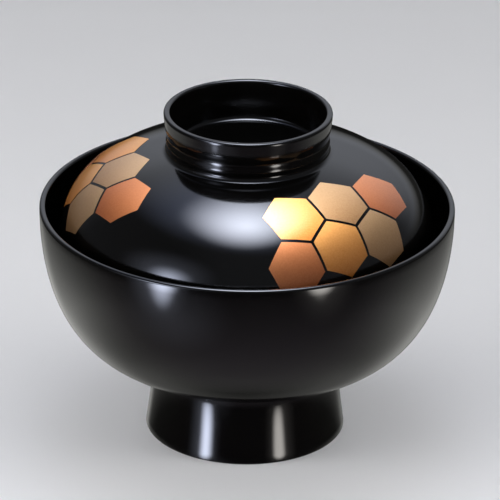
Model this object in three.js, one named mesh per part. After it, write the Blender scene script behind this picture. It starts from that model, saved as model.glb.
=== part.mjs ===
// Lidded soup bowl on a tall hollow foot, in millimetres, +Z up.
// The origin is the centre of the foot's resting face.
// Each piece is one profile of radius and height, revolved about Z.
import * as THREE from "three";

// Bowl: an even wall that thins to a round lip above the lid's seat
const rimRadius = 60;
const bowlHeight = 70;
const bowlWall = 3.4;
const lipThickness = 1.8;
const lipTaperHeight = 14;
const undersideRun = 23.2;
const sideRise = 25;
const insideFloorRadius = 41;
const insideFloorDish = 2;

// Foot: a flared ring in one with the bowl, hollow below the bowl's floor
const footHeight = 22.8;
const footBaseRadius = 29.7;
const footNeckRadius = 27.5;
const footFlare = 0.4;
const footWall = 3;
const footEdgeRound = 0.5;
const footFillet = 0.8;
const footHollowFillet = 2.5;
const bowlFloorThickness = 4.4;

// Lid: a dome that sinks inside the bowl's lip and rests on its inner wall
const lidSeatDepth = 17;
const lidSeatClearance = 0.3;
const lidWall = 2.6;
const lidEdgeThickness = 2;
const domeRise = 33;
const domeShoulderRun = 23.4;
const domeShoulderSlope = THREE.MathUtils.degToRad(12.9);
const domeSkirtRise = 20.4;

// Grip ring: a waisted collar on the dome, with a faint bead above its root and a flared lip
const ringRadius = 24.3;
const ringHeight = 12;
const ringRootRadius = 23.3;
const ringRootFillet = 1.4;
const ringBeadRadius = 23.65;
const ringBeadHeight = 2.9;
const ringWaistRadius = 23.35;
const ringWaistHeight = 4.8;
const ringLipThickness = 1.8;
const ringLipRound = 0.7;
const ringBoreTaper = 1.2;
const ringFloorRise = 0.2;
const ringFloorThickness = 1.8;
const ringFloorFillet = 1.6;

// Facets
const turnFacets = 60;
const longCurveSteps = 10;
const shortCurveSteps = 5;
const roundSteps = 2;

const lacquerBlack = 0x0d0b0a;
const lacquerRoughness = 0.22;
const lacquerMetalness = 0;

function at(radius, height) {
  return new THREE.Vector2(radius, height);
}

// The parameter from 0 to 1 at which a measure that only grows reaches a value.
function parameterWhere(measure, value) {
  const halvings = 40;
  let low = 0;
  let high = 1;
  for (let i = 0; i < halvings; i++) {
    const middle = (low + high) / 2;
    if (measure(middle) < value) low = middle;
    else high = middle;
  }
  return (low + high) / 2;
}

// The point at a depth to the left of a curve's direction of travel.
function leftOf(curve, parameter, depth) {
  const along = curve.getTangent(parameter);
  return curve.getPoint(parameter).add(at(-along.y * depth, along.x * depth));
}

// A face that follows a curve at a depth, from one parameter to another.
function faceLeftOf(curve, depthAt, from, to, steps) {
  const points = [];
  for (let i = 0; i <= steps; i++) {
    const parameter = THREE.MathUtils.lerp(from, to, i / steps);
    points.push(leftOf(curve, parameter, depthAt(parameter)));
  }
  return points;
}

// A corner rounded off between two straight sides, at a distance from it along both.
function roundedCorner(before, corner, after, distance) {
  const start = corner.clone().add(before.clone().sub(corner).setLength(distance));
  const end = corner.clone().add(after.clone().sub(corner).setLength(distance));
  return new THREE.QuadraticBezierCurve(start, corner, end).getPoints(roundSteps);
}

// From a point, on along a direction until it turns level at a height, and level from there to the axis.
function levelledToAxis(start, along, height) {
  const turn = start.clone().addScaledVector(along, (height - start.y) / along.y);
  const curve = new THREE.QuadraticBezierCurve(start, turn, at(0, height));
  return curve.getPoints(shortCurveSteps);
}

// One profile from its stretches in order, with the points that two stretches share kept once.
function joined(...stretches) {
  const samePoint = 1e-4;
  const all = stretches.flat();
  return all.filter((point, i) => i === 0 || point.distanceTo(all[i - 1]) > samePoint);
}

// A profile runs from the axis on the upper side, out and round, back to the axis on the lower side.
// It is revolved from its far end, which turns the faces outwards.
function revolved(name, profile) {
  const geometry = new THREE.LatheGeometry(profile.toReversed(), turnFacets);
  geometry.rotateX(Math.PI / 2);
  const material = new THREE.MeshStandardMaterial({
    color: lacquerBlack,
    roughness: lacquerRoughness,
    metalness: lacquerMetalness,
  });
  const mesh = new THREE.Mesh(geometry, material);
  mesh.name = name;
  return mesh;
}

// The bowl's outer side: level where it leaves the foot, upright at the lip
const lipRound = lipThickness / 2;
const lipStart = bowlHeight - lipRound;
const outerSide = new THREE.CubicBezierCurve(
  at(footNeckRadius, footHeight),
  at(footNeckRadius + undersideRun, footHeight),
  at(rimRadius, lipStart - sideRise),
  at(rimRadius, lipStart),
);

function bowlWallAt(parameter) {
  const belowLip = lipStart - outerSide.getPoint(parameter).y;
  const fullness = THREE.MathUtils.smoothstep(belowLip, 0, lipTaperHeight);
  return THREE.MathUtils.lerp(lipThickness, bowlWall, fullness);
}

// The height of the inside floor at the axis, and of the foot's hollow below it
const insideFloorHeight = footHeight + bowlWall - insideFloorDish;
const footHollowHeight = insideFloorHeight - bowlFloorThickness;

function innerRadiusAt(parameter) {
  return leftOf(outerSide, parameter, bowlWallAt(parameter)).x;
}

function bowlInside() {
  const floorEnd = parameterWhere(innerRadiusAt, insideFloorRadius);
  const wall = faceLeftOf(outerSide, bowlWallAt, floorEnd, 1, longCurveSteps);
  const floor = levelledToAxis(wall[0], outerSide.getTangent(floorEnd), insideFloorHeight);
  return joined(floor.reverse(), wall);
}

function bowlLip() {
  const centre = at(rimRadius - lipRound, lipStart);
  const arc = new THREE.EllipseCurve(centre.x, centre.y, lipRound, lipRound, Math.PI, 0, true);
  return arc.getPoints(2 * roundSteps);
}

function bowlOutside() {
  const fillet = roundedCorner(
    outerSide.getPoint(1 / longCurveSteps),
    outerSide.getPoint(0),
    at(footBaseRadius, 0),
    footFillet,
  );
  const side = outerSide.getPoints(longCurveSteps).reverse();
  side.pop();
  return joined(side, fillet);
}

function footOutside() {
  const middle = at((footBaseRadius + footNeckRadius) / 2 - footFlare, footHeight / 2);
  const flare = new THREE.QuadraticBezierCurve(
    at(footNeckRadius, footHeight - footFillet),
    middle,
    at(footBaseRadius, footEdgeRound),
  );
  const edge = roundedCorner(
    at(footBaseRadius, footHeight),
    at(footBaseRadius, 0),
    at(0, 0),
    footEdgeRound,
  );
  return joined(flare.getPoints(shortCurveSteps).slice(1), edge);
}

function footInside() {
  const base = at(footBaseRadius - footWall, 0);
  const ceiling = at(footNeckRadius - footWall, footHollowHeight);
  const edge = roundedCorner(at(footBaseRadius, 0), base, ceiling, footEdgeRound);
  const fillet = roundedCorner(base, ceiling, at(0, footHollowHeight), footHollowFillet);
  return joined(edge, fillet, [at(0, footHollowHeight)]);
}

// The lid's edge is round, and its centre lies off the bowl's inner wall by the clearance
const lidEdgeRound = lidEdgeThickness / 2;
const seatHeight = bowlHeight - lidSeatDepth;
const seatParameter = parameterWhere((parameter) => outerSide.getPoint(parameter).y, seatHeight);
const seatToEdgeCentre = bowlWallAt(seatParameter) + lidSeatClearance + lidEdgeRound;
const lidEdge = leftOf(outerSide, seatParameter, seatToEdgeCentre);
const ringRootHeight = lidEdge.y + domeRise;

// The lid's outer side, from its edge up over the shoulder to the ring's root
const dome = new THREE.CubicBezierCurve(
  at(lidEdge.x + lidEdgeRound, lidEdge.y),
  at(lidEdge.x + lidEdgeRound, lidEdge.y + domeSkirtRise),
  at(
    ringRootRadius + domeShoulderRun * Math.cos(domeShoulderSlope),
    ringRootHeight - domeShoulderRun * Math.sin(domeShoulderSlope),
  ),
  at(ringRootRadius, ringRootHeight),
);

function lidWallAt(parameter) {
  return THREE.MathUtils.lerp(lidEdgeThickness, lidWall, parameter);
}

const ringTop = ringRootHeight + ringHeight;
const ringFloorHeight = ringRootHeight + ringFloorRise;

function ringInside() {
  const mouth = at(ringRadius - ringLipThickness, ringTop);
  const corner = at(mouth.x - ringBoreTaper, ringFloorHeight);
  const fillet = roundedCorner(at(0, ringFloorHeight), corner, mouth, ringFloorFillet);
  const lip = roundedCorner(corner, mouth, at(ringRadius, ringTop), ringLipRound);
  return joined([at(0, ringFloorHeight)], fillet, lip);
}

function ringOutside() {
  const shoulder = at(ringRadius, ringTop - ringLipRound);
  const lip = roundedCorner(at(0, ringTop), at(ringRadius, ringTop), shoulder, ringLipRound);
  const fillet = roundedCorner(
    at(ringRootRadius, ringTop),
    dome.getPoint(1),
    dome.getPoint(1 - 1 / longCurveSteps),
    ringRootFillet,
  );
  const stops = [
    shoulder,
    at(ringWaistRadius, ringRootHeight + ringWaistHeight),
    at(ringBeadRadius, ringRootHeight + ringBeadHeight),
    fillet[0],
  ];
  const side = new THREE.SplineCurve(stops).getPoints(shortCurveSteps * (stops.length - 1));
  return joined(lip, side, fillet);
}

function lidEdgeArc() {
  const arc = new THREE.EllipseCurve(
    lidEdge.x, lidEdge.y, lidEdgeRound, lidEdgeRound, 0, Math.PI, true,
  );
  return arc.getPoints(2 * roundSteps);
}

function lidUnderside() {
  const shell = faceLeftOf(dome, lidWallAt, 0, 1, longCurveSteps);
  const crownHeight = ringFloorHeight - ringFloorThickness;
  const crown = levelledToAxis(shell[shell.length - 1], dome.getTangent(1), crownHeight);
  return joined(shell, crown);
}

const bowlProfile = joined(bowlInside(), bowlLip(), bowlOutside(), footOutside(), footInside());
const lidProfile = joined(
  ringInside(),
  ringOutside(),
  dome.getPoints(longCurveSteps).reverse().slice(1),
  lidEdgeArc(),
  lidUnderside(),
);

const soupBowl = new THREE.Group();
soupBowl.add(revolved("bowl", bowlProfile), revolved("lid", lidProfile));

export default soupBowl;
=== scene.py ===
"""A lidded soup bowl in polished black lacquer, with gold panels on its lid.

The bowl and the lid are turned again, finer than their solids, and the panels lie on the lid's dome.
Sizes of the profiles are in millimetres, as (radius, height) about the Z axis.
"""
import math

import bmesh
import bpy
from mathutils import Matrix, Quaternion, Vector
from mathutils.geometry import interpolate_bezier


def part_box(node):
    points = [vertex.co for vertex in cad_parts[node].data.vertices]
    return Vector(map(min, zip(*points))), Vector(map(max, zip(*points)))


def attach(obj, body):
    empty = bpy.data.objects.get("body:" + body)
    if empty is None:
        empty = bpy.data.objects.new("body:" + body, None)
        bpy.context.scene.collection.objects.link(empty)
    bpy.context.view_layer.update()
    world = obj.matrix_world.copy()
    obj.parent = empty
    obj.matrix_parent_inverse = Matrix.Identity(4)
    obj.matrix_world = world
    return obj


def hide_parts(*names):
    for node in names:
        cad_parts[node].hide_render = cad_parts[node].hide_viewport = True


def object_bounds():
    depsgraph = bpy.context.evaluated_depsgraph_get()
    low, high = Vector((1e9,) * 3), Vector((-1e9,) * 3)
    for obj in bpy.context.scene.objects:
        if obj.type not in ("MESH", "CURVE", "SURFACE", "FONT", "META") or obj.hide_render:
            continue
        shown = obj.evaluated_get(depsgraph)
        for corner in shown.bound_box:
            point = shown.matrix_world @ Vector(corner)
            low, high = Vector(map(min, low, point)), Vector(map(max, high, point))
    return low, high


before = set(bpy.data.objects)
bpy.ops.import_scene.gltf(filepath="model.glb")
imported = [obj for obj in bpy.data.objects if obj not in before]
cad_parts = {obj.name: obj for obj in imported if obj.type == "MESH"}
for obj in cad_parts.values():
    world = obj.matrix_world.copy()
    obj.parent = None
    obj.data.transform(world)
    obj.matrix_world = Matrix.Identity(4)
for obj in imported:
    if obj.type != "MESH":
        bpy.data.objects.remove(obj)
cad_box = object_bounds()

MM = 0.001

# Sizes that the frame gives
MIDDLE = (cad_box[0] + cad_box[1]) / 2
BOWL_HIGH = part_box("bowl")[1] / MM
LID_LOW, LID_HIGH = (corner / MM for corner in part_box("lid"))
RIM_RADIUS = BOWL_HIGH.x
BOWL_HEIGHT = BOWL_HIGH.z
LID_RADIUS = LID_HIGH.x
LID_EDGE_LOW = LID_LOW.z
RING_TOP = LID_HIGH.z

# Bowl: an even wall that thins to a round lip
BOWL_WALL = 3.4
LIP = 1.8
LIP_START = BOWL_HEIGHT - LIP / 2
LIP_TAPER = 14.0
UNDERSIDE_RUN = 24.1
SIDE_RISE = 25.0
INSIDE_FLOOR_RADIUS = 41.0
INSIDE_FLOOR_DISH = 2.0

# Foot: a little slimmer than the solid's, with a larger fillet under the belly, as in the photograph
FOOT_HEIGHT = 22.8
FOOT_BASE_RADIUS = 29.0
FOOT_NECK_RADIUS = 26.6
FOOT_FLARE = 0.4
FOOT_WALL = 3.0
FOOT_EDGE_ROUND = 0.5
FOOT_FILLET = 5.4
FOOT_HOLLOW_FILLET = 2.5
BOWL_FLOOR = 4.4
INSIDE_FLOOR_HEIGHT = FOOT_HEIGHT + BOWL_WALL - INSIDE_FLOOR_DISH
FOOT_HOLLOW_HEIGHT = INSIDE_FLOOR_HEIGHT - BOWL_FLOOR

# Lid: a dome with a round edge
LID_WALL = 2.6
LID_EDGE = 2.0
LID_EDGE_HEIGHT = LID_EDGE_LOW + LID_EDGE / 2
DOME_SHOULDER_RUN = 23.4
DOME_SHOULDER_SLOPE = math.radians(12.9)
DOME_SKIRT_RISE = 20.4

# Ring on the lid: from its root past a bead and a waist to an upright band and a round lip
RING_RADIUS = 24.3
RING_HEIGHT = 12.0
RING_ROOT = RING_TOP - RING_HEIGHT
RING_ROOT_RADIUS = 23.3
RING_ROOT_FILLET = 1.4
RING_BEAD_RADIUS = 23.65
RING_BEAD_HEIGHT = 2.9
RING_WAIST_RADIUS = 23.4
RING_WAIST_HEIGHT = 5.0
RING_BAND_RADIUS = 23.92
RING_BAND_HEIGHT = 7.4
RING_LIP = 1.8
RING_LIP_ROUND = 0.7
RING_BORE_TAPER = 1.2
RING_FLOOR = 1.8
RING_FLOOR_RISE = 0.2
RING_FLOOR_HEIGHT = RING_ROOT + RING_FLOOR_RISE
RING_FLOOR_FILLET = 1.6

# Steps of the turned surfaces. Edges that turn by more than the sharp turn stay sharp in the shading.
TURN_STEPS = 160
LONG_STEPS = 36
SHORT_STEPS = 12
ROUND_STEPS = 6
SAME_POINT = 1e-6
SHARP_TURN = math.radians(40)

# Gold panels: tortoiseshell hexagons in three clusters round the lid, each of two rows of three.
# A place in a cluster is (across, towards the ring) from its middle.
PANEL_ACROSS = 15.5
PANEL_GAP = 0.9
PANEL_PROUD = 0.06
PANEL_DEPTH = 0.12
PANEL_CELLS = 18
CLUSTER_REACH = 44.5
CLUSTER_AZIMUTHS = (38, 172, 272)
STEP = PANEL_ACROSS + PANEL_GAP
ROW = STEP * math.sqrt(3) / 4
PANELS = {
    "orange": ((-0.75 * STEP, ROW), (-0.25 * STEP, -ROW)),
    "champagne": ((0.25 * STEP, ROW), (0.75 * STEP, -ROW)),
    "copper": ((1.25 * STEP, ROW), (-1.25 * STEP, -ROW)),
}

# The deep and the bright colour of each gold
GOLD = {
    "orange": ("#d27c2c", "#f2b162"),
    "copper": ("#b8622f", "#dd8f58"),
    "champagne": ("#a8794a", "#cfa878"),
}

# Camera at the photograph's viewing angle, in metres, with its focal length in pixels of the picture
ELEVATION = math.radians(24.73)
DISTANCE = 1.5
AIM = Vector((0.00095, 0, 0.0551))
LEAN = math.radians(0.65)
FOCAL_PIXELS = 5173
PICTURE_WIDTH = 500

FLOOR_REACH = 3.0


def at(radius, height):
    return Vector((radius, height))


def curved(start, leaving, arriving, end, steps):
    """Points of a curve from start to end, with its two handles."""
    return interpolate_bezier(start, leaving, arriving, end, steps + 1)


def cornered(start, corner, end, steps):
    """Points of a curve that leaves its start and reaches its end in line with one corner."""
    to_corner = 2 / 3
    return curved(start, start.lerp(corner, to_corner), end.lerp(corner, to_corner), end, steps)


def rounded(before, corner, after, distance, steps=ROUND_STEPS):
    """Points of a rounded corner that starts and ends at a distance from it on both sides."""
    start = corner + (before - corner).normalized() * distance
    end = corner + (after - corner).normalized() * distance
    return cornered(start, corner, end, steps)


def levelled_to_axis(start, along, height):
    """From a point on along a direction, turning level at a height on the way to the axis."""
    turn = start + along * ((height - start.y) / along.y)
    return cornered(start, turn, at(0, height), SHORT_STEPS)


def direction(points, index):
    """The direction of travel at one of a row of points."""
    return (points[min(index + 1, len(points) - 1)] - points[max(index - 1, 0)]).normalized()


def face_left_of(points, depths):
    """A face that follows a row of points on their left, at a depth for each of them."""
    face = []
    for index, (point, depth) in enumerate(zip(points, depths)):
        along = direction(points, index)
        face.append(point + at(-along.y, along.x) * depth)
    return face


def joined(*stretches):
    """One profile from its stretches in order, with the points that two of them share kept once."""
    points = [point for stretch in stretches for point in stretch]
    kept = [points[0]]
    for point in points[1:]:
        if (point - kept[-1]).length > SAME_POINT / MM:
            kept.append(point)
    return kept


def finished(name, shape):
    """A mesh object at the origin, with its doubles merged and its faces pointing out."""
    bmesh.ops.remove_doubles(shape, verts=shape.verts, dist=SAME_POINT)
    bmesh.ops.recalc_face_normals(shape, faces=shape.faces)
    for face in shape.faces:
        face.smooth = True
    for edge in shape.edges:
        edge.smooth = edge.calc_face_angle(0) < SHARP_TURN
    mesh = bpy.data.meshes.new(name)
    shape.to_mesh(mesh)
    shape.free()
    piece = bpy.data.objects.new(name, mesh)
    bpy.context.scene.collection.objects.link(piece)
    return piece


def turned(name, profile):
    """A piece turned about the Z axis from a profile that starts and ends on it."""
    shape = bmesh.new()
    verts = [shape.verts.new((radius * MM, 0, height * MM)) for radius, height in profile]
    edges = [shape.edges.new(pair) for pair in zip(verts, verts[1:])]
    bmesh.ops.spin(
        shape, geom=verts + edges, cent=(0, 0, 0), axis=(0, 0, 1), angle=2 * math.pi,
        steps=TURN_STEPS, use_merge=True,
    )
    return finished(name, shape)


def bowl_side():
    """The bowl's outer side: level where it leaves the foot, upright at the lip."""
    return curved(
        at(FOOT_NECK_RADIUS, FOOT_HEIGHT), at(FOOT_NECK_RADIUS + UNDERSIDE_RUN, FOOT_HEIGHT),
        at(RIM_RADIUS, LIP_START - SIDE_RISE), at(RIM_RADIUS, LIP_START), LONG_STEPS,
    )


def bowl_wall_at(height):
    """The bowl's wall, which thins smoothly towards the lip."""
    fullness = min(max((LIP_START - height) / LIP_TAPER, 0), 1)
    fullness *= fullness * (3 - 2 * fullness)
    return LIP + (BOWL_WALL - LIP) * fullness


def bowl_inside(side):
    """The bowl's inside, from the middle of its dished floor up to the lip."""
    wall = face_left_of(side, [bowl_wall_at(point.y) for point in side])
    first = next(i for i, point in enumerate(wall) if point.x > INSIDE_FLOOR_RADIUS)
    wall = wall[first:]
    floor = levelled_to_axis(wall[0], direction(wall, 0), INSIDE_FLOOR_HEIGHT)
    return floor[::-1] + wall


def bowl_lip(inside, side):
    """The round lip between the ends of the inside and the outer side."""
    inner_corner = at(RIM_RADIUS - LIP, BOWL_HEIGHT)
    outer_corner = at(RIM_RADIUS, BOWL_HEIGHT)
    inner_half = rounded(inside[-1], inner_corner, outer_corner, LIP / 2)
    return inner_half + rounded(inner_corner, outer_corner, side[-1], LIP / 2)


def foot_outside(side):
    """The foot's outer face, from its fillet under the belly down a slight flare."""
    neck = rounded(side[1], side[0], at(FOOT_BASE_RADIUS, 0), FOOT_FILLET)
    middle = at((FOOT_BASE_RADIUS + FOOT_NECK_RADIUS) / 2 - FOOT_FLARE, FOOT_HEIGHT / 2)
    return neck + cornered(neck[-1], middle, at(FOOT_BASE_RADIUS, FOOT_EDGE_ROUND), SHORT_STEPS)


def foot_inside():
    """The foot's resting edge and its hollow, in to the axis."""
    above_base = at(FOOT_BASE_RADIUS, FOOT_HEIGHT)
    base = at(FOOT_BASE_RADIUS, 0)
    inner_base = at(FOOT_BASE_RADIUS - FOOT_WALL, 0)
    ceiling = at(FOOT_NECK_RADIUS - FOOT_WALL, FOOT_HOLLOW_HEIGHT)
    middle = at(0, FOOT_HOLLOW_HEIGHT)
    edge = rounded(above_base, base, inner_base, FOOT_EDGE_ROUND)
    edge += rounded(base, inner_base, ceiling, FOOT_EDGE_ROUND)
    return edge + rounded(inner_base, ceiling, middle, FOOT_HOLLOW_FILLET) + [middle]


def bowl_profile():
    side = bowl_side()
    inside = bowl_inside(side)
    foot = foot_outside(side)
    belly = [point for point in side if point.x > foot[0].x]
    return joined(inside, bowl_lip(inside, side), belly[::-1], foot, foot_inside())


def dome_curve():
    """The lid's outer side, from its edge up over the shoulder to the ring's root."""
    shoulder = at(math.cos(DOME_SHOULDER_SLOPE), -math.sin(DOME_SHOULDER_SLOPE)) * DOME_SHOULDER_RUN
    edge = at(LID_RADIUS, LID_EDGE_HEIGHT)
    root = at(RING_ROOT_RADIUS, RING_ROOT)
    return curved(edge, edge + at(0, DOME_SKIRT_RISE), root + shoulder, root, LONG_STEPS)


def ring_side(dome):
    """The ring's outer side, from under its lip down to its fillet on the dome.
    It runs smoothly through its stops, with each stop's slope taken from its neighbours."""
    above_root = at(RING_ROOT_RADIUS, RING_TOP)
    fillet = rounded(above_root, dome[-1], dome[-2], RING_ROOT_FILLET, SHORT_STEPS)
    lip = at(RING_RADIUS, RING_TOP - RING_LIP_ROUND)
    band = at(RING_BAND_RADIUS, RING_ROOT + RING_BAND_HEIGHT)
    waist = at(RING_WAIST_RADIUS, RING_ROOT + RING_WAIST_HEIGHT)
    bead = at(RING_BEAD_RADIUS, RING_ROOT + RING_BEAD_HEIGHT)
    neck = fillet[0]
    stops = [lip, band, waist, bead, neck]
    slopes = [band - lip, (waist - lip) / 2, (bead - band) / 2, (neck - waist) / 2, neck - bead]
    points = []
    for (start, end), (leave, arrive) in zip(zip(stops, stops[1:]), zip(slopes, slopes[1:])):
        points += curved(start, start + leave / 3, end - arrive / 3, end, SHORT_STEPS)
    return points + fillet


def ring_inside(side):
    """The ring's floor, bore and round lip, from the axis out to the ring's side."""
    middle = at(0, RING_FLOOR_HEIGHT)
    mouth = at(RING_RADIUS - RING_LIP, RING_TOP)
    floor_corner = at(mouth.x - RING_BORE_TAPER, RING_FLOOR_HEIGHT)
    outer_lip = at(RING_RADIUS, RING_TOP)
    lip = rounded(floor_corner, mouth, outer_lip, RING_LIP_ROUND)
    lip += rounded(mouth, outer_lip, side[0], RING_LIP_ROUND)
    return [middle] + rounded(middle, floor_corner, mouth, RING_FLOOR_FILLET) + lip


def lid_underside(dome):
    """The lid's round edge and its hollow underside, in to the axis."""
    shares = [index / LONG_STEPS for index in range(LONG_STEPS + 1)]
    shell = face_left_of(dome, [LID_EDGE + (LID_WALL - LID_EDGE) * share for share in shares])
    crown = levelled_to_axis(shell[-1], direction(dome, LONG_STEPS), RING_FLOOR_HEIGHT - RING_FLOOR)
    edge_low = at(LID_RADIUS, LID_EDGE_LOW)
    edge_inner = at(LID_RADIUS - LID_EDGE, LID_EDGE_LOW)
    edge = rounded(dome[0], edge_low, edge_inner, LID_EDGE / 2)
    edge += rounded(edge_low, edge_inner, shell[0], LID_EDGE / 2)
    return edge + shell + crown


def lid_profile():
    dome = dome_curve()
    side = ring_side(dome)
    return joined(ring_inside(side), side, dome[-2::-1], lid_underside(dome))


def dome_walk():
    """The dome's points from the ring's root outwards, each with its way there and its outer side."""
    points = dome_curve()[::-1]
    walk = []
    way = RING_ROOT_RADIUS
    for index, point in enumerate(points):
        along = direction(points, index)
        if index:
            way += (point - points[index - 1]).length
        walk.append((way, point, at(-along.y, along.x)))
    return walk


def laid_on_dome(plan, walk):
    """The place on the dome of a point of a flat plan. Its distance from the axis is kept along the dome."""
    way = plan.length
    index = next(i for i, stop in enumerate(walk) if stop[0] > way)
    before, after = walk[index - 1], walk[index]
    share = (way - before[0]) / (after[0] - before[0])
    out = before[2].lerp(after[2], share)
    spot = before[1].lerp(after[1], share) + out * PANEL_PROUD
    sideways = plan.normalized() * spot.x
    return Vector((sideways.x, sideways.y, spot.y)) * MM


def hexagon_tile():
    """A flat hexagon with two points on its Y axis, and how far up it each vertex lies."""
    shape = bmesh.new()
    reach = PANEL_ACROSS / math.sqrt(3)
    bmesh.ops.create_grid(shape, x_segments=PANEL_CELLS, y_segments=PANEL_CELLS, size=reach)
    for side in range(6):
        turn = side * math.pi / 3
        away = Vector((math.cos(turn), math.sin(turn), 0))
        bmesh.ops.bisect_plane(
            shape, geom=[*shape.verts, *shape.edges, *shape.faces],
            plane_co=away * PANEL_ACROSS / 2, plane_no=away, clear_outer=True,
        )
    height = shape.verts.layers.float.new("height_in_panel")
    for vert in shape.verts:
        vert[height] = (vert.co.y / reach + 1) / 2
    tile = bpy.data.meshes.new("hexagon_tile")
    shape.to_mesh(tile)
    shape.free()
    return tile


def gold_panels(name, tile, centres):
    """The hexagons of one tone in every cluster, laid on the dome and let a little into it."""
    walk = dome_walk()
    shape = bmesh.new()
    for azimuth in CLUSTER_AZIMUTHS:
        turn = math.radians(azimuth)
        outward = Vector((math.sin(turn), -math.cos(turn)))
        across = Vector((math.cos(turn), math.sin(turn)))
        for right, up in centres:
            first = len(shape.verts)
            shape.from_mesh(tile)
            shape.verts.ensure_lookup_table()
            for vert in shape.verts[first:]:
                plan = outward * (CLUSTER_REACH - up - vert.co.y) + across * (right + vert.co.x)
                vert.co = laid_on_dome(plan, walk)
    bmesh.ops.remove_doubles(shape, verts=shape.verts, dist=SAME_POINT)
    bmesh.ops.recalc_face_normals(shape, faces=shape.faces)
    bmesh.ops.reverse_faces(shape, faces=[face for face in shape.faces if face.normal.z < 0])
    bmesh.ops.solidify(shape, geom=shape.faces[:], thickness=PANEL_DEPTH * MM)
    return finished(name, shape)


bowl = turned("turned_bowl", bowl_profile())
lid = turned("turned_lid", lid_profile())
for piece, node in ((bowl, "bowl"), (lid, "lid")):
    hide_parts(node)
    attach(piece, node)

tile = hexagon_tile()
panels = {}
for tone, centres in PANELS.items():
    panels[tone] = gold_panels("gold_panels_" + tone, tile, centres)
    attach(panels[tone], "lid")


def linear(colour):
    """An sRGB hex colour as linear values with full opacity."""
    shares = [int(colour[i:i + 2], 16) / 255 for i in (1, 3, 5)]
    return [s / 12.92 if s <= 0.04045 else ((s + 0.055) / 1.055) ** 2.4 for s in shares] + [1.0]


def add(tree, kind, settings=(), inputs=()):
    """A node with its settings, and its inputs set or linked."""
    made = tree.nodes.new(kind)
    for name, value in dict(settings).items():
        setattr(made, name, value)
    for name, value in dict(inputs).items():
        if isinstance(value, bpy.types.NodeSocket):
            tree.links.new(value, made.inputs[name])
        else:
            made.inputs[name].default_value = value
    return made


def noise(tree, place, width, detail):
    """Smooth noise whose patches have a real width."""
    made = add(tree, "ShaderNodeTexNoise", inputs={"Vector": place, "Scale": 1 / width, "Detail": detail})
    return made.outputs["Fac"]


def ramp(tree, value, span, levels=(0, 1), ease="LINEAR"):
    """A value turned into a level: the first at the start of its span, the second at the end."""
    made = add(tree, "ShaderNodeMapRange", {"interpolation_type": ease}, {
        "Value": value, "From Min": span[0], "From Max": span[1], "To Min": levels[0], "To Max": levels[1],
    })
    return made.outputs["Result"]


def worked_out(tree, operation, *values):
    """The result of a sum on values."""
    made = add(tree, "ShaderNodeMath", {"operation": operation}, enumerate(values))
    return made.outputs["Value"]


def blend(tree, kind, share, first, second):
    """A share of the way from the first value or colour to the second."""
    made = add(tree, "ShaderNodeMix", {"data_type": kind}, {"Factor": share, "A": first, "B": second})
    return made.outputs["Result"]


def new_material(name):
    material = bpy.data.materials.new(name)
    material.use_nodes = True
    material.node_tree.nodes.clear()
    return material, material.node_tree


def black_lacquer():
    """Black lacquer, brushed on and polished: a deep brown-black under a clear, slightly uneven gloss."""
    pool_width = 22 * MM
    polish_width = 7 * MM
    wave_width = 6 * MM
    wave_height = 0.006 * MM
    material, tree = new_material("black_lacquer_brushed_and_polished")
    place = add(tree, "ShaderNodeTexCoord").outputs["Object"]
    pooling = noise(tree, place, pool_width, detail=3)
    polish = noise(tree, place, polish_width, detail=4)
    wave = noise(tree, place, wave_width, detail=1)
    surface = add(tree, "ShaderNodeBump", inputs={"Height": wave, "Distance": wave_height})
    shader = add(tree, "ShaderNodeBsdfPrincipled", inputs={
        "Base Color": blend(tree, "RGBA", pooling, linear("#020202"), linear("#060504")),
        "Roughness": ramp(tree, polish, (0, 1), (0.07, 0.13)),
        "IOR": 1.5,
        "Normal": surface.outputs["Normal"],
    })
    add(tree, "ShaderNodeOutputMaterial", inputs={"Surface": shader.outputs["BSDF"]})
    return material


def sprinkled_gold(tone, deep, bright):
    """Gold powder sprinkled into wet lacquer and burnished: a satin metal, deeper in its grain and on each
    panel's side away from the ring.
    The real powder is too fine to see, so its grain is drawn coarser."""
    grain_width = 0.5 * MM
    grain_height = 0.012 * MM
    grain_weight = 0.9
    deep_to_bright_span = (0.25, 1.55)
    material, tree = new_material("gold_powder_sprinkled_" + tone)
    place = add(tree, "ShaderNodeTexCoord").outputs["Object"]
    height = add(tree, "ShaderNodeAttribute", {"attribute_name": "height_in_panel"}).outputs["Fac"]
    grain = noise(tree, place, grain_width, detail=3)
    # The gold's colour runs deeper in its grain and towards each panel's side away from the ring, and
    # brighter towards the ring.
    gold_tone_share = ramp(tree, worked_out(tree, "MULTIPLY_ADD", grain, grain_weight, height), deep_to_bright_span)
    surface = add(tree, "ShaderNodeBump", inputs={"Height": grain, "Distance": grain_height})
    shader = add(tree, "ShaderNodeBsdfPrincipled", inputs={
        "Base Color": blend(tree, "RGBA", gold_tone_share, linear(deep), linear(bright)),
        "Metallic": 1.0,
        "Roughness": ramp(tree, grain, (0, 1), (0.46, 0.6)),
        "Normal": surface.outputs["Normal"],
        "Coat Weight": 1.0,
        "Coat Roughness": 0.12,
    })
    add(tree, "ShaderNodeOutputMaterial", inputs={"Surface": shader.outputs["BSDF"]})
    return material


lacquer = black_lacquer()
bowl.data.materials.append(lacquer)
lid.data.materials.append(lacquer)
for tone, (deep, bright) in GOLD.items():
    panels[tone].data.materials.append(sprinkled_gold(tone, deep, bright))


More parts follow.
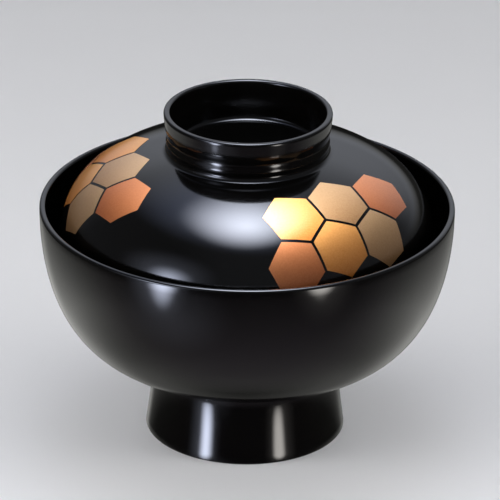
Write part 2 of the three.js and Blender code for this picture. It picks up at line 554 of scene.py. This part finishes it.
def floor_sheet():
    """A pale sheet of calendered paper, with a slight sheen and a faint mottle.
    It is clear from below, so that the bowl can be seen from there, and it isn't mirrored: the studio's
    own table is."""
    mottle_width = 40 * MM
    shape = bmesh.new()
    bmesh.ops.create_grid(shape, x_segments=1, y_segments=1, size=FLOOR_REACH)
    floor = finished("floor", shape)
    material, tree = new_material("floor_paper_calendered")
    place = add(tree, "ShaderNodeTexCoord").outputs["Object"]
    mottle = noise(tree, place, mottle_width, detail=2)
    paper = add(tree, "ShaderNodeBsdfPrincipled", inputs={
        "Base Color": blend(tree, "RGBA", mottle, linear("#dbdbdd"), linear("#dddddf")),
        "Roughness": 0.5,
    })
    clear = add(tree, "ShaderNodeBsdfTransparent")
    below = add(tree, "ShaderNodeNewGeometry").outputs["Backfacing"]
    sheet = add(tree, "ShaderNodeMixShader", inputs={
        0: below, 1: paper.outputs["BSDF"], 2: clear.outputs["BSDF"],
    })
    add(tree, "ShaderNodeOutputMaterial", inputs={"Surface": sheet.outputs["Shader"]})
    floor.data.materials.append(material)
    floor.visible_glossy = False
    return floor


floor = floor_sheet()


def round_the_bowl(azimuth, elevation, distance):
    """A place seen from the bowl's middle, with the azimuth counted from the camera to the right."""
    a, e = math.radians(azimuth), math.radians(elevation)
    out = Vector((math.sin(a) * math.cos(e), -math.cos(a) * math.cos(e), math.sin(e)))
    return MIDDLE + out * distance


def soft_panel(name, place, size, radiance, colour, softness=1.0, roll=0.0):
    """A panel of light that faces the bowl, even in its middle and fading out towards its edge.
    It only adds light, so a panel in front of another doesn't hide it."""
    shape = bmesh.new()
    bmesh.ops.create_grid(shape, x_segments=1, y_segments=1, size=1)
    panel = finished(name, shape)
    panel.location = place
    panel.scale = (size[0] / 2, size[1] / 2, 1)
    panel.rotation_mode = "QUATERNION"
    facing = (MIDDLE - place).to_track_quat("-Z", "Y")
    panel.rotation_quaternion = facing @ Quaternion((0, 0, 1), math.radians(roll))
    material, tree = new_material(name)
    spot = add(tree, "ShaderNodeTexCoord").outputs["Object"]
    inwards = add(tree, "ShaderNodeTexGradient", {"gradient_type": "SPHERICAL"}, {"Vector": spot})
    strength = ramp(tree, inwards.outputs["Fac"], (0, softness), (0, radiance), "SMOOTHSTEP")
    glow = add(tree, "ShaderNodeEmission", inputs={"Color": linear(colour), "Strength": strength})
    clear = add(tree, "ShaderNodeBsdfTransparent")
    light = add(tree, "ShaderNodeAddShader", inputs={
        0: glow.outputs["Emission"], 1: clear.outputs["BSDF"],
    })
    add(tree, "ShaderNodeOutputMaterial", inputs={"Surface": light.outputs["Shader"]})
    panel.data.materials.append(material)
    panel.visible_camera = False
    panel.visible_shadow = False
    return panel


# Lamps that the lacquer mirrors, the haze round them and two lit patches of the table behind the bowl.
# They don't light the floor.
mirrored_panels = [
    soft_panel(
        "overhead_softbox", round_the_bowl(azimuth=180, elevation=83, distance=0.8),
        size=(0.66, 1.0), radiance=23.3, colour="#eaf0ff", softness=1.15,
    ),
    soft_panel(
        "overhead_haze", round_the_bowl(azimuth=200, elevation=79, distance=0.8),
        size=(1.0, 1.6), radiance=2.5, colour="#c8d6ff", softness=1.4,
    ),
    soft_panel(
        "left_strip", round_the_bowl(azimuth=-43.6, elevation=-14.6, distance=0.7),
        size=(0.23, 0.45), radiance=22.5, colour="#e0e8ff", softness=0.95, roll=-15,
    ),
    soft_panel(
        "right_strip", round_the_bowl(azimuth=38.6, elevation=-12.3, distance=0.7),
        size=(0.21, 0.36), radiance=8.8, colour="#fffaf4", softness=0.65, roll=10,
    ),
    soft_panel(
        "left_softbox", round_the_bowl(azimuth=-46, elevation=12.5, distance=0.7),
        size=(0.42, 0.44), radiance=18.0, colour="#dfe7ff", softness=1.5,
    ),
    soft_panel(
        "left_haze", round_the_bowl(azimuth=-49, elevation=15, distance=0.75),
        size=(1.0, 1.05), radiance=2.4, colour="#dfe7ff", softness=1.7,
    ),
    soft_panel(
        "left_glow", round_the_bowl(azimuth=-42, elevation=-33, distance=0.7),
        size=(0.85, 0.55), radiance=0.45, colour="#e6ecff", softness=1.2,
    ),
    soft_panel(
        "strip_haze", round_the_bowl(azimuth=-47, elevation=-15, distance=0.7),
        size=(0.5, 0.6), radiance=1.5, colour="#e0e8ff", softness=1.2, roll=-26,
    ),
    soft_panel(
        "right_haze", round_the_bowl(azimuth=41, elevation=-15, distance=0.7),
        size=(0.5, 0.6), radiance=0.6, colour="#fffaf4", softness=1.2, roll=26,
    ),
    soft_panel(
        "left_table", round_the_bowl(azimuth=-158, elevation=-29, distance=0.7),
        size=(0.4, 0.3), radiance=0.45, colour="#fffffa", softness=1.2,
    ),
    soft_panel(
        "right_table", round_the_bowl(azimuth=158, elevation=-29, distance=0.7),
        size=(0.4, 0.3), radiance=0.15, colour="#fffffa", softness=1.2,
    ),
]
for panel in mirrored_panels:
    panel.visible_diffuse = False

# Lamps for the floor. The lacquer doesn't mirror them.
floor_panels = [
    soft_panel(
        "left_fill", round_the_bowl(azimuth=-80, elevation=16, distance=0.55),
        size=(0.5, 0.3), radiance=17.5, colour="#ffffff",
    ),
    soft_panel(
        "right_fill", round_the_bowl(azimuth=80, elevation=16, distance=0.55),
        size=(0.5, 0.3), radiance=18.0, colour="#ffffff",
    ),
    soft_panel(
        "left_key", round_the_bowl(azimuth=-45, elevation=30, distance=0.6),
        size=(0.5, 0.4), radiance=3.2, colour="#ffffff",
    ),
    soft_panel(
        "overhead_key", round_the_bowl(azimuth=0, elevation=84, distance=0.75),
        size=(1.0, 0.8), radiance=1.7, colour="#ffffff",
    ),
]
for panel in floor_panels:
    panel.visible_glossy = False


def mirrored_room(tree, right, back, up):
    """How bright the room is above the table: a lit wall behind the bowl, and a room dimmer on the left."""
    dim_left = (-0.55, -0.2)
    wall = ramp(tree, back, (0.4, 0.9), (0, 0.5), "SMOOTHSTEP")
    wall_side = ramp(tree, right, dim_left, (0.3, 1.0))
    wall_light = ramp(tree, up, (0.2, 0.45), (0.9, 1.7))
    dim_room = ramp(tree, right, dim_left, (0.09, 0.16))
    lit_wall = worked_out(tree, "MULTIPLY", wall, wall_side)
    return worked_out(tree, "MULTIPLY_ADD", lit_wall, wall_light, dim_room)


def mirrored_table(tree, right, back, up):
    """How bright the table is: dim near the camera, with a lit band behind and the foot's shadow in it."""
    shadow_starts = -0.58
    near_table = ramp(tree, up, (-0.36, -0.9), (0.035, 0.32))
    far_table = ramp(tree, back, (-0.5, 0.5), (0.0, 0.64), "SMOOTHSTEP")
    table_edge = ramp(tree, up, (-0.345, shadow_starts))
    shadow_edge = ramp(tree, up, (shadow_starts, -0.85), (1.0, 0.15), "SMOOTHSTEP")
    lit_band = worked_out(tree, "MULTIPLY", table_edge, shadow_edge)
    open_table = worked_out(tree, "MULTIPLY_ADD", far_table, lit_band, near_table)
    sideways = worked_out(tree, "ABSOLUTE", right)
    beside_foot = ramp(tree, sideways, (0, 0.45), (0.25, 1.0), "SMOOTHSTEP")
    behind_foot = ramp(tree, back, (-0.15, 0.25))
    foot_shadow = blend(tree, "FLOAT", behind_foot, 1.0, beside_foot)
    return worked_out(tree, "MULTIPLY", open_table, foot_shadow)


def studio_world():
    """What surrounds the bowl: a room and a table for the lacquer to mirror, low light all round for the
    floor, and a pale ground behind it. Each ramp runs over one part of a direction, from -1 to 1."""
    world = bpy.data.worlds.new("studio")
    world.use_nodes = True
    tree = world.node_tree
    tree.nodes.clear()
    toward = add(tree, "ShaderNodeTexCoord").outputs["Generated"]
    parts = add(tree, "ShaderNodeSeparateXYZ", inputs={"Vector": toward}).outputs
    right, back, up = parts["X"], parts["Y"], parts["Z"]
    above = ramp(tree, up, (-0.05, 0.12))
    level = blend(
        tree, "FLOAT", above, mirrored_table(tree, right, back, up), mirrored_room(tree, right, back, up),
    )
    far_side = ramp(tree, back, (-0.6, 0.2))
    table_tint = blend(tree, "RGBA", far_side, linear("#fdf0fe"), linear("#fffffa"))
    tint = blend(tree, "RGBA", above, table_tint, linear("#eef3ff"))
    mirrored = add(tree, "ShaderNodeBackground", inputs={"Strength": level, "Color": tint})
    low_light = ramp(tree, up, (0.45, 0.8), (0.82, 0.09))
    fill = add(tree, "ShaderNodeBackground", inputs={"Strength": low_light, "Color": linear("#ffffff")})
    pale = add(tree, "ShaderNodeBackground", inputs={"Strength": 1.0, "Color": linear("#d6d6d8")})
    path = add(tree, "ShaderNodeLightPath")
    lit = add(tree, "ShaderNodeMixShader", inputs={
        0: path.outputs["Is Glossy Ray"], 1: fill.outputs["Background"], 2: mirrored.outputs["Background"],
    })
    seen = add(tree, "ShaderNodeMixShader", inputs={
        0: path.outputs["Is Camera Ray"], 1: lit.outputs["Shader"], 2: pale.outputs["Background"],
    })
    add(tree, "ShaderNodeOutputWorld", inputs={"Surface": seen.outputs["Shader"]})
    return world


def photo_camera():
    """A camera at the photograph's viewing angle, leaning a little to one side as the photograph does."""
    camera_data = bpy.data.cameras.new("camera")
    camera_data.lens = camera_data.sensor_width * FOCAL_PIXELS / PICTURE_WIDTH
    camera = bpy.data.objects.new("camera", camera_data)
    back = Vector((0, -math.cos(ELEVATION), math.sin(ELEVATION)))
    camera.location = AIM + back * DISTANCE
    camera.rotation_mode = "QUATERNION"
    camera.rotation_quaternion = (-back).to_track_quat("-Z", "Y") @ Quaternion((0, 0, 1), LEAN)
    bpy.context.scene.collection.objects.link(camera)
    return camera


bpy.context.scene.world = studio_world()
bpy.context.scene.view_settings.view_transform = "Standard"
bpy.context.scene.camera = photo_camera()
